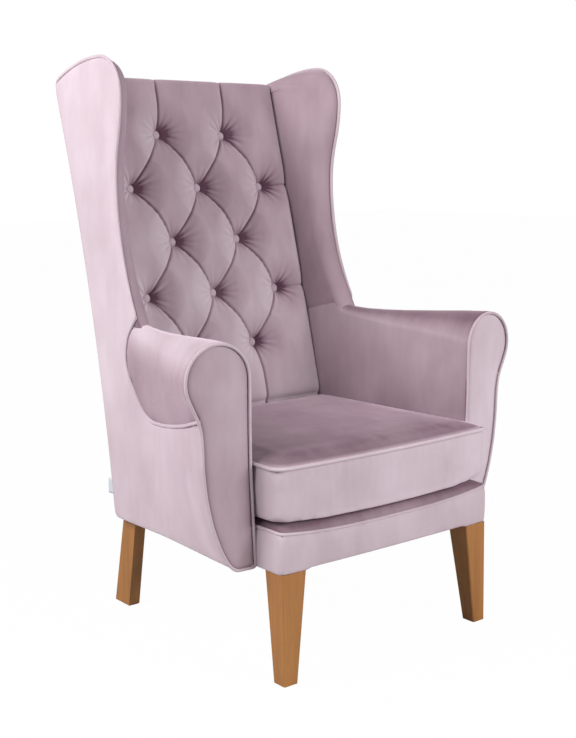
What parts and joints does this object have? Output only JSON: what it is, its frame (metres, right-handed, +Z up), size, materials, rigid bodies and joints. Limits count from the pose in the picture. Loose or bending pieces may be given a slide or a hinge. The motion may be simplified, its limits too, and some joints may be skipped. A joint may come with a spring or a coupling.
{
  "type": "wing chair",
  "caption": "High-backed upholstered wing chair with rolled arms, a deep-buttoned back, a loose seat cushion with piping, and tapered wooden legs.",
  "frame": {"origin": "on the floor, under the middle of the chair's bounding box", "axes": "+Z up, +Y towards the chair's back, +X to the right of someone looking towards +Y; the sitter faces -Y"},
  "size_m": [0.8378, 0.7674, 1.1498],
  "materials": {
    "lilac_velvet": "short-pile velvet",
    "velvet_welt": "velvet-covered cord",
    "stained_leg_wood": "honey stain, satin lacquer",
    "frame_wood": "sawn, unfinished",
    "zinc_steel": "zinc plated",
    "grey_felt": "pressed felt",
    "foam": "open-cell foam",
    "black_lining": "non-woven lining",
    "jute_webbing": "woven strap",
    "waxed_twine": "waxed",
    "white_tag": "plain woven tape"
  },
  "bodies": {
    "chair": {"arm_facing_left": "lilac_velvet", "arm_facing_right": "lilac_velvet", "arm_post_left": "frame_wood", "arm_post_right": "frame_wood", "arm_rail_left": "frame_wood", "arm_rail_right": "frame_wood", "arm_sill_left": "frame_wood", "arm_sill_right": "frame_wood", "back_buttons": "lilac_velvet", "back_lower_rail": "frame_wood", "back_pad": "lilac_velvet", "back_post_left": "frame_wood", "back_post_right": "frame_wood", "back_top_rail": "frame_wood", "back_webbing": "jute_webbing", "border_welt": "velvet_welt", "button_twines": "waxed_twine", "corner_blocks": "frame_wood", "dust_cover": "black_lining", "facing_welt_left": "velvet_welt", "facing_welt_right": "velvet_welt", "frame_bolts": "zinc_steel", "front_border": "lilac_velvet", "front_leg_left": "stained_leg_wood", "front_leg_right": "stained_leg_wood", "front_rail": "frame_wood", "inside_arm_left": "lilac_velvet", "inside_arm_right": "lilac_velvet", "inside_wing_left": "lilac_velvet", "inside_wing_right": "lilac_velvet", "leg_bolts": "zinc_steel", "outside_back": "lilac_velvet", "outside_panel_left": "lilac_velvet", "outside_panel_right": "lilac_velvet", "rear_leg_left": "stained_leg_wood", "rear_leg_right": "stained_leg_wood", "rear_rail": "frame_wood", "seam_tag": "white_tag", "seat_deck": "foam", "seat_springs": "zinc_steel", "side_rail_left": "frame_wood", "side_rail_right": "frame_wood", "side_welt_left": "velvet_welt", "side_welt_right": "velvet_welt", "spring_clips": "zinc_steel", "spring_felt": "grey_felt", "wing_board_left": "frame_wood", "wing_board_right": "frame_wood"},
    "cushion": {"seat_cushion": "lilac_velvet", "cushion_core": "foam", "cushion_welt": "velvet_welt"}
  },
  "joints": [
    {"name": "cushion_lift", "type": "slide", "parent": "chair", "child": "cushion", "axis": [0, 0, 1], "range_m": [0, 0.4]}
  ]
}
